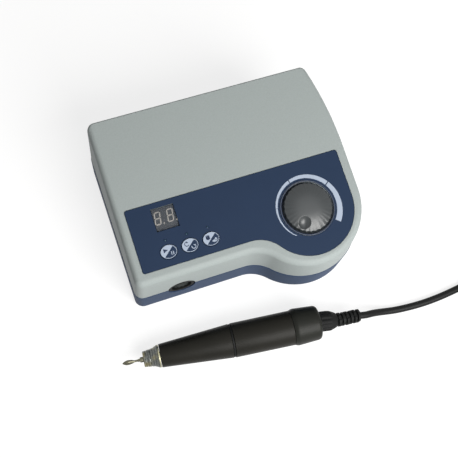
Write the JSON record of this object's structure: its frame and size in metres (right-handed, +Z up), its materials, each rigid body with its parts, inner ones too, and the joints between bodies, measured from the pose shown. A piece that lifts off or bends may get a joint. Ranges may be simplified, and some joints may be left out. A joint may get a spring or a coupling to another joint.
{
  "type": "dental laboratory micromotor",
  "caption": "Sloped bench control box with a round lobe for its speed dial, a display, push keys and a black collet handpiece on a cord with a coiled end and a plug.",
  "frame": {"origin": "on the bench surface, under the middle of the box that holds the control box and the handpiece, without the cord, its coil and its plug", "axes": "+X to the right along the front of the control box, +Y from its front to its back, +Z up"},
  "size_m": [0.3666, 0.2923, 0.0788],
  "materials": {
    "base_shell": "satin moulded ABS",
    "brush_holder": "moulded, with carbon brushes",
    "bur": "cut flutes, polished shank",
    "case_screw_back_left": "zinc plated",
    "case_screw_back_right": "zinc plated",
    "case_screw_front_left": "zinc plated",
    "case_screw_front_right": "zinc plated",
    "collet": "ground and polished",
    "commutator": "turned copper",
    "control_button": "white and navy print",
    "cooling_fan": "moulded",
    "cord_coil": "matt flexible sheath",
    "dial_bezel": "satin",
    "direction_button": "white and navy print",
    "display_module": "black face, pale segments",
    "display_window": "clear smoked acrylic",
    "foot_back_left": "moulded",
    "foot_back_right": "moulded",
    "foot_front_left": "moulded",
    "foot_front_right": "moulded",
    "front_capacitor": "shrink sleeve on an aluminium can",
    "front_sleeve": "satin black coating on aluminium",
    "fuse_holder": "moulded black",
    "handpiece_cord": "matt flexible sheath",
    "handpiece_socket": "moulded black",
    "heat_sink": "extruded, plain",
    "joint_ring": "black seal",
    "magnet_ring": "plain ferrite",
    "main_board": "solder resist on glass epoxy",
    "mains_inlet": "moulded black, plated pins",
    "motor_case": "satin black coating on aluminium",
    "motor_front_bearing": "ground",
    "motor_rear_bearing": "ground",
    "motor_shaft": "ground",
    "nose_cone": "turned and polished steel",
    "panel_board": "solder resist on glass epoxy",
    "panel_overlay": "satin printed film on a plate",
    "pedal_jack": "nickel plated",
    "plug_grip": "moulded black",
    "plug_shell": "nickel plated, with brass pins",
    "potentiometer": "plated",
    "potentiometer_shaft": "turned",
    "power_rocker": "polished black",
    "rear_cap": "moulded black",
    "rear_capacitor": "shrink sleeve on an aluminium can",
    "rear_panel": "moulded plate",
    "rocker_housing": "moulded black",
    "rotor": "laminations with copper windings",
    "run_button": "white and navy print",
    "speed_knob": "satin with a soft spun sheen",
    "spindle": "ground",
    "spindle_front_bearing": "ground",
    "spindle_housing": "turned",
    "spindle_rear_bearing": "ground",
    "strain_relief": "soft moulded",
    "top_shell": "fine satin texture, moulded ABS",
    "transformer_coil": "yellow tape over copper wire",
    "transformer_core": "varnished laminations",
    "transformer_strap": "zinc plated"
  },
  "bodies": {
    "control_box": {"base_shell": "base_shell", "case_screw_back_left": "case_screw_back_left", "case_screw_back_right": "case_screw_back_right", "case_screw_front_left": "case_screw_front_left", "case_screw_front_right": "case_screw_front_right", "dial_bezel": "dial_bezel", "display_module": "display_module", "display_window": "display_window", "foot_back_left": "foot_back_left", "foot_back_right": "foot_back_right", "foot_front_left": "foot_front_left", "foot_front_right": "foot_front_right", "front_capacitor": "front_capacitor", "fuse_holder": "fuse_holder", "handpiece_socket": "handpiece_socket", "heat_sink": "heat_sink", "main_board": "main_board", "mains_inlet": "mains_inlet", "panel_board": "panel_board", "panel_overlay": "panel_overlay", "pedal_jack": "pedal_jack", "potentiometer": "potentiometer", "rear_capacitor": "rear_capacitor", "rear_panel": "rear_panel", "rocker_housing": "rocker_housing", "top_shell": "top_shell", "transformer_coil": "transformer_coil", "transformer_core": "transformer_core", "transformer_strap": "transformer_strap"},
    "speed_dial": {"speed_knob": "speed_knob", "potentiometer_shaft": "potentiometer_shaft"},
    "run_key": {"run_button": "run_button"},
    "direction_key": {"direction_button": "direction_button"},
    "control_key": {"control_button": "control_button"},
    "power_key": {"power_rocker": "power_rocker"},
    "handpiece": {"motor_case": "motor_case", "rear_cap": "rear_cap", "joint_ring": "joint_ring", "nose_cone": "nose_cone", "spindle_housing": "spindle_housing", "spindle_front_bearing": "spindle_front_bearing", "spindle_rear_bearing": "spindle_rear_bearing", "motor_front_bearing": "motor_front_bearing", "motor_rear_bearing": "motor_rear_bearing", "magnet_ring": "magnet_ring", "brush_holder": "brush_holder", "strain_relief": "strain_relief", "handpiece_cord": "handpiece_cord", "cord_coil": "cord_coil", "plug_grip": "plug_grip", "plug_shell": "plug_shell"},
    "chuck_sleeve": {"front_sleeve": "front_sleeve"},
    "rotating_group": {"spindle": "spindle", "motor_shaft": "motor_shaft", "rotor": "rotor", "commutator": "commutator", "cooling_fan": "cooling_fan"},
    "collet": {"collet": "collet"},
    "bur": {"bur": "bur"}
  },
  "joints": [
    {"name": "speed_dial_turn", "type": "hinge", "parent": "control_box", "child": "speed_dial", "pos_m": [0.0595, -0.00994, 0.06077], "axis": [0, -0.1702, 0.9854], "range_deg": [-290, 0]},
    {"name": "run_key_press", "type": "slide", "parent": "control_box", "child": "run_key", "axis": [0, 0.1702, -0.9854], "range_m": [0, 0.0005], "stiffness_N_per_m": 800, "springref_m": -0.0002},
    {"name": "direction_key_press", "type": "slide", "parent": "control_box", "child": "direction_key", "axis": [0, 0.1702, -0.9854], "range_m": [0, 0.0005], "stiffness_N_per_m": 800, "springref_m": -0.0002},
    {"name": "control_key_press", "type": "slide", "parent": "control_box", "child": "control_key", "axis": [0, 0.1702, -0.9854], "range_m": [0, 0.0005], "stiffness_N_per_m": 800, "springref_m": -0.0002},
    {"name": "power_rocker_tip", "type": "hinge", "parent": "control_box", "child": "power_key", "pos_m": [0.0058, 0.09416, 0.04961], "axis": [1, 0, 0], "range_deg": [0, 20]},
    {"name": "handpiece_lift", "type": "slide", "parent": "control_box", "child": "handpiece", "axis": [0, 0, 1], "range_m": [0, 0.15]},
    {"name": "chuck_twist", "type": "hinge", "parent": "handpiece", "child": "chuck_sleeve", "pos_m": [-0.04938, -0.0759, 0.01246], "axis": [-0.9929, 0.1165, -0.0247], "range_deg": [0, 60]},
    {"name": "spindle_spin", "type": "hinge", "parent": "handpiece", "child": "rotating_group", "pos_m": [-0.04938, -0.0759, 0.01246], "axis": [-0.9929, 0.1165, -0.0247], "continuous": true},
    {"name": "collet_slide", "type": "slide", "parent": "rotating_group", "child": "collet", "axis": [-0.9929, 0.1165, -0.0247], "range_m": [0, 0.001]},
    {"name": "bur_pull", "type": "slide", "parent": "collet", "child": "bur", "axis": [-0.9929, 0.1165, -0.0247], "range_m": [0, 0.045]}
  ],
  "couplings": [
    {"joint": "chuck_twist", "follows": "collet_slide", "rad_per_m": 1047.1}
  ]
}
